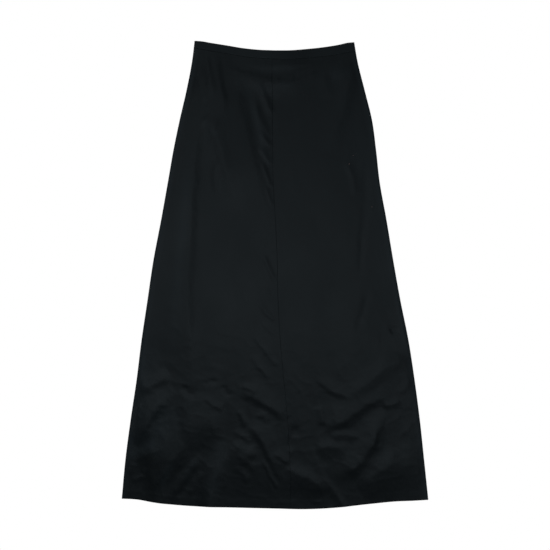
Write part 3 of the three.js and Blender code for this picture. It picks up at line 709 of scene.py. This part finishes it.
# A waistband piece between two signed shares of the half-widths
def bandPiece(name, start, end, front):
    gap = skirt["seamSlit"] / 2
    shares = np.linspace(start, end, int((end - start) * bandCut["columns"]) + 1)
    side = np.where(shares < 0, -1, 1)
    top = lineAt(waistLine, shares, side)
    height = bandAt(shares) + (0 if front else skirt["backDrop"])
    fromTop, toSeam = (np.array(bandCut[key]) / bandCut["height"] for key in ("fromTop", "toSeam"))
    upper, lower = [], []
    for level in np.unique(np.concatenate([fromTop, 1 - toSeam])):
        down = top + level * (height - gap)
        sideDown = np.where(side < 0, waistLine[-1, 1], waistLine[-1, 2]) + level * height
        edge = np.where(side < 0, edgeAt("left", sideDown), edgeAt("right", sideDown))
        x = shares * edge
        if end == 0:
            x = np.minimum(x, -gap)
        if start == 0:
            x = np.maximum(x, gap)
        distances = {
            "fromTop": down - top,
            "toSeam": height - gap - (down - top),
            "fromEnd": (1 - np.abs(shares)) * edge,
        }
        roll = rolled(distances, bandRolls)
        bump = zipBump(x, down)
        if front:
            base = bump * skirt["zipLiftFront"] + skirt["bandWall"] + skirt["seamGap"]
            wave = bandCut["uneven"] * unevenness(x, down, bandCut["seed"])
            high = base + skirt["bandWall"] * roll + bandCut["rise"] + wave
            low = high - skirt["bandShell"] * np.clip(roll, skirt["shellEdge"], 1)
            low = np.maximum(low, base - skirt["bandShellBelow"])
        else:
            high = bump + skirt["bandWall"]
            low = bump + (1 - roll) * skirt["bandWall"] * backLay["edgeTurn"]
        upper.append(pointsAt(x, down, high))
        lower.append(pointsAt(x, down, low))
    return clothPiece(name, np.array(upper), np.array(lower), bandSatin)


pieces = {
    "frontLeft": frontPanel("left"),
    "frontRight": frontPanel("right"),
    "backLeft": backPanel("left"),
    "backRight": backPanel("right"),
    "bandFront": bandPiece("bandFront", -1, 1, True),
    "bandBackLeft": bandPiece("bandBackLeft", -1, 0, False),
    "bandBackRight": bandPiece("bandBackRight", 0, 1, False),
}
replaced = {
    "frontLeft": "front_left",
    "frontRight": "front_right",
    "backLeft": "back_left",
    "backRight": "back_right",
    "bandFront": "waistband_front",
    "bandBackLeft": "waistband_back_left",
    "bandBackRight": "waistband_back_right",
}
print("cloth made")


for name, piece in pieces.items():
    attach(piece, "skirt")
    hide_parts(replaced[name])

# Blind stitches that hold the turned-up hem, a small prick of thread every few millimetres
stitchSizes = {
    "spacing": 6.5,
    "length": 1.5,
    "thread": 0.32,
    "above": 18.4,  # height of the row above the hem's edge
    "fromSeam": 3,  # the row starts this far from the middle seam and ends this far from the side
    "fromSide": 4,
    "sideDown": 940,  # how far down the side and the seam are where the row meets them
    "seamDown": 960,
    "places": 90,  # places of the line that it follows
    "proud": 0.02,  # how far its middle lies outside the cloth
    "turn": (0.1, 0.1, 0.35),  # most that a stitch turns out of line, radians
    "seed": 4,
}
lintFlecks = [  # x, down, length and width in mm, turn in degrees
    (164.3, 241, 2.4, 1.5, 30),
    (155.9, 259, 3.4, 2.3, 75),
    (203.8, 349, 2.2, 1.4, -20),
    (170.5, 236, 1.3, 0.5, 60),
]
lintShape = {
    "rings": 5,
    "around": 8,
    "end": 0.04,  # its end rings are as wide as it is at this share of its length
    "least": 0.8,  # share of its width that a ring has at least, and the most that chance adds
    "spread": 0.35,
    "flat": 0.32,  # its height is this share of its width
    "above": 0.03,  # and it lies this far above the cloth, mm
}


def stitchTree():
    tree = bpy.data.node_groups.new("hemStitches", "GeometryNodeTree")
    face = tree.interface
    face.new_socket("Line", in_out="INPUT", socket_type="NodeSocketGeometry")
    names = {}
    for name, value in (("Spacing", "spacing"), ("Stitch length", "length"), ("Thread width", "thread")):
        socket = face.new_socket(name, in_out="INPUT", socket_type="NodeSocketFloat")
        socket.default_value = stitchSizes[value] * mm
        names[value] = socket.identifier
    seed = face.new_socket("Seed", in_out="INPUT", socket_type="NodeSocketInt")
    seed.default_value = stitchSizes["seed"]
    names["seed"] = seed.identifier
    face.new_socket("Stitches", in_out="OUTPUT", socket_type="NodeSocketGeometry")
    nodes, link = tree.nodes, tree.links.new
    start, end = nodes.new("NodeGroupInput"), nodes.new("NodeGroupOutput")

    curve = nodes.new("GeometryNodeMeshToCurve")
    link(start.outputs["Line"], curve.inputs["Mesh"])
    spaced = nodes.new("GeometryNodeResampleCurve")
    spaced.mode = "LENGTH"
    link(curve.outputs["Curve"], spaced.inputs["Curve"])
    link(start.outputs["Spacing"], spaced.inputs["Length"])
    way = nodes.new("GeometryNodeInputTangent")
    turn = nodes.new("FunctionNodeAlignRotationToVector")
    turn.axis = "X"
    link(way.outputs["Tangent"], turn.inputs["Vector"])
    stray = nodes.new("FunctionNodeRandomValue")
    stray.data_type = "FLOAT_VECTOR"
    stray.inputs[0].default_value = [-most for most in stitchSizes["turn"]]
    stray.inputs[1].default_value = stitchSizes["turn"]
    link(start.outputs["Seed"], stray.inputs["Seed"])
    spin = nodes.new("FunctionNodeRotateRotation")
    link(turn.outputs["Rotation"], spin.inputs["Rotation"])
    link(stray.outputs[0], spin.inputs["Rotate By"])
    prick = nodes.new("GeometryNodeMeshIcoSphere")
    prick.inputs["Radius"].default_value = 0.5
    prick.inputs["Subdivisions"].default_value = 2
    size = nodes.new("ShaderNodeCombineXYZ")
    link(start.outputs["Stitch length"], size.inputs["X"])
    link(start.outputs["Thread width"], size.inputs["Y"])
    link(start.outputs["Thread width"], size.inputs["Z"])
    placed = nodes.new("GeometryNodeInstanceOnPoints")
    link(spaced.outputs["Curve"], placed.inputs["Points"])
    link(prick.outputs["Mesh"], placed.inputs["Instance"])
    link(spin.outputs["Rotation"], placed.inputs["Rotation"])
    link(size.outputs["Vector"], placed.inputs["Scale"])
    real = nodes.new("GeometryNodeRealizeInstances")
    link(placed.outputs["Instances"], real.inputs["Geometry"])
    thread = nodes.new("GeometryNodeSetMaterial")
    thread.inputs["Material"].default_value = threadBlack
    link(real.outputs["Geometry"], thread.inputs["Geometry"])
    link(thread.outputs["Geometry"], end.inputs["Stitches"])
    return tree, names


# The line that a row of stitches follows along the hem of one panel, in metres
def hemPlaces(side, front):
    sign = -1 if side == "left" else 1
    edge = float(edgeAt(side, stitchSizes["sideDown"]))
    seam = float(seamAt(stitchSizes["seamDown"])) if front else 0.0
    end = edge - sign * seam - stitchSizes["fromSide"]
    stops = np.linspace(stitchSizes["fromSeam"], end, stitchSizes["places"])
    x = seam + sign * stops
    toHem = np.full(x.shape, stitchSizes["above"])
    down = lineAt(hemLine, np.abs(x) / edge, x) - toHem
    g = {
        "x": x,
        "down": down,
        "fromSeam": stops,
        "fromSide": edge - np.abs(x),
        "fromTop": down,
        "toHem": toHem,
    }
    if front:
        height = frontSurface(side, g)[0] + stitchSizes["proud"]
    else:
        height = backSurface(side, g)[1] - stitchSizes["proud"]
    return pointsAt(x, down, height) * mm


def hemStitches():
    tree, names = stitchTree()
    points, edges = [], []
    for side in ("left", "right"):
        for front in (True, False):
            line = hemPlaces(side, front)
            edges += [(len(points) + k, len(points) + k + 1) for k in range(len(line) - 1)]
            points += line.tolist()
    mesh = bpy.data.meshes.new("hemLine")
    mesh.from_pydata(points, edges, [])
    guide = bpy.data.objects.new("hemLine", mesh)
    bpy.context.scene.collection.objects.link(guide)
    modifier = guide.modifiers.new("stitches", "NODES")
    modifier.node_group = tree
    for key, identifier in names.items():
        modifier[identifier] = stitchSizes[key] * (1 if key == "seed" else mm)
    seen = guide.evaluated_get(bpy.context.evaluated_depsgraph_get())
    plain = bpy.data.meshes.new_from_object(seen)
    bpy.data.objects.remove(guide)
    piece = bpy.data.objects.new("hemStitches", plain)
    bpy.context.scene.collection.objects.link(piece)
    return piece


# Three pale flecks of lint and one loose fibre on the right of the front
def lint():
    rings, around = lintShape["rings"], lintShape["around"]
    points, faces = [], []
    for x, down, length, width, turn in lintFlecks:
        g = {
            "x": np.array([x]),
            "down": np.array([down]),
            "fromSeam": np.array([x]),
            "fromSide": np.array([float(edgeAt("right", down)) - x]),
            "fromTop": np.array([down]),
            "toHem": np.array([skirt["length"] - down]),
        }
        z = float(frontSurface("right", g)[0][0]) + lintShape["above"]
        cos, sin = math.cos(math.radians(turn)), math.sin(math.radians(turn))
        start = len(points)
        for i in range(rings + 1):
            t = i / rings
            bulge = math.sin(math.pi * min(max(t, lintShape["end"]), 1 - lintShape["end"]))
            for k in range(around):
                a = 2 * math.pi * k / around
                thick = width * bulge * (lintShape["least"] + lintShape["spread"] * random.random())
                along = (t - 0.5) * length
                across = thick * math.cos(a) / 2
                up = thick * lintShape["flat"] * (1 + math.sin(a)) / 2
                y = skirt["length"] / 2 - down + along * sin + across * cos
                points.append([value * mm for value in (x + along * cos - across * sin, y, z + up)])
        for i in range(rings):
            for k in range(around):
                n = (k + 1) % around
                a, b = start + i * around, start + (i + 1) * around
                faces.append((a + k, a + n, b + n, b + k))
        faces.append(tuple(start + k for k in reversed(range(around))))
        faces.append(tuple(start + rings * around + k for k in range(around)))
    return meshPiece("lint", points, faces, lintPale)


random.seed(11)
for extra in (hemStitches(), lint()):
    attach(extra, "skirt")
print("stitches and lint made")

for node in ("zip_slider", "zip_pull"):
    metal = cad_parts[node]
    metal.data.materials.clear()
    metal.data.materials.append(zipBlack)
print("zip finished")


# Floor, light and camera
def floorMaterial():
    material = bpy.data.materials.new("floorWhite")
    material.use_nodes = True
    nodes, link = material.node_tree.nodes, material.node_tree.links.new
    nodes.clear()
    out = nodes.new("ShaderNodeOutputMaterial")
    white = nodes.new("ShaderNodeEmission")
    white.inputs["Color"].default_value = (1, 1, 1, 1)
    clear = nodes.new("ShaderNodeBsdfTransparent")
    facing = nodes.new("ShaderNodeNewGeometry")
    mix = nodes.new("ShaderNodeMixShader")
    link(facing.outputs["Backfacing"], mix.inputs["Fac"])
    link(white.outputs["Emission"], mix.inputs[1])
    link(clear.outputs["BSDF"], mix.inputs[2])
    link(mix.outputs["Shader"], out.inputs["Surface"])
    return material


floorSize = {"half": 6, "height": -0.0006}
corners = [(x * floorSize["half"], y * floorSize["half"]) for x, y in ((-1, -1), (1, -1), (1, 1), (-1, 1))]
corners = [(*corner, floorSize["height"]) for corner in corners]
floor = meshPiece("floor", corners, [(0, 1, 2, 3)], floorMaterial())

lights = {  # in metres and watts
    "overhead": {"at": (-0.02, -0.06, 1.4), "size": (1.9, 0.3), "power": 2.65},
    "key": {"at": (-0.9, 2.6, 5.4), "size": (2.3, 2.3), "power": 15.6},
    "below": {"at": (0.0, -0.3, -2.2), "size": (1.8, 1.8), "power": 14},
}
lightColour = (0.76, 0.91, 1.0)
roomLight = 0.043  # the faint light from all round
for name, light in lights.items():
    lamp = bpy.data.lights.new(name, "AREA")
    lamp.shape = "RECTANGLE"
    lamp.size, lamp.size_y = light["size"]
    lamp.energy = light["power"]
    lamp.color = lightColour
    holder = bpy.data.objects.new(name, lamp)
    holder.location = light["at"]
    holder.rotation_euler = (Vector((0, 0, 0)) - holder.location).to_track_quat("-Z", "Y").to_euler()
    holder.visible_camera = False
    bpy.context.scene.collection.objects.link(holder)

world = bpy.data.worlds.new("studio")
bpy.context.scene.world = world
world.use_nodes = True
nodes, link = world.node_tree.nodes, world.node_tree.links.new
dim = nodes["Background"]
dim.inputs["Color"].default_value = (*lightColour, 1)
dim.inputs["Strength"].default_value = roomLight
bright = nodes.new("ShaderNodeBackground")
bright.inputs["Strength"].default_value = 1
seen = nodes.new("ShaderNodeLightPath")
mix = nodes.new("ShaderNodeMixShader")
link(seen.outputs["Is Camera Ray"], mix.inputs["Fac"])
link(dim.outputs["Background"], mix.inputs[1])
link(bright.outputs["Background"], mix.inputs[2])
link(mix.outputs["Shader"], nodes["World Output"].inputs["Surface"])

view = {"pixel": 2.1, "pixels": 550, "lens": 150, "sensor": 36, "level": 4}  # pixel and level in mm
camera = bpy.data.objects.new("camera", bpy.data.cameras.new("camera"))
camera.data.lens = view["lens"]
camera.data.sensor_width = view["sensor"]
span = view["pixel"] * view["pixels"] * mm
camera.location = (0, 0, span * view["lens"] / view["sensor"] + view["level"] * mm)
bpy.context.scene.collection.objects.link(camera)
bpy.context.scene.camera = camera
bpy.context.scene.view_settings.view_transform = "Standard"
print("stage set")
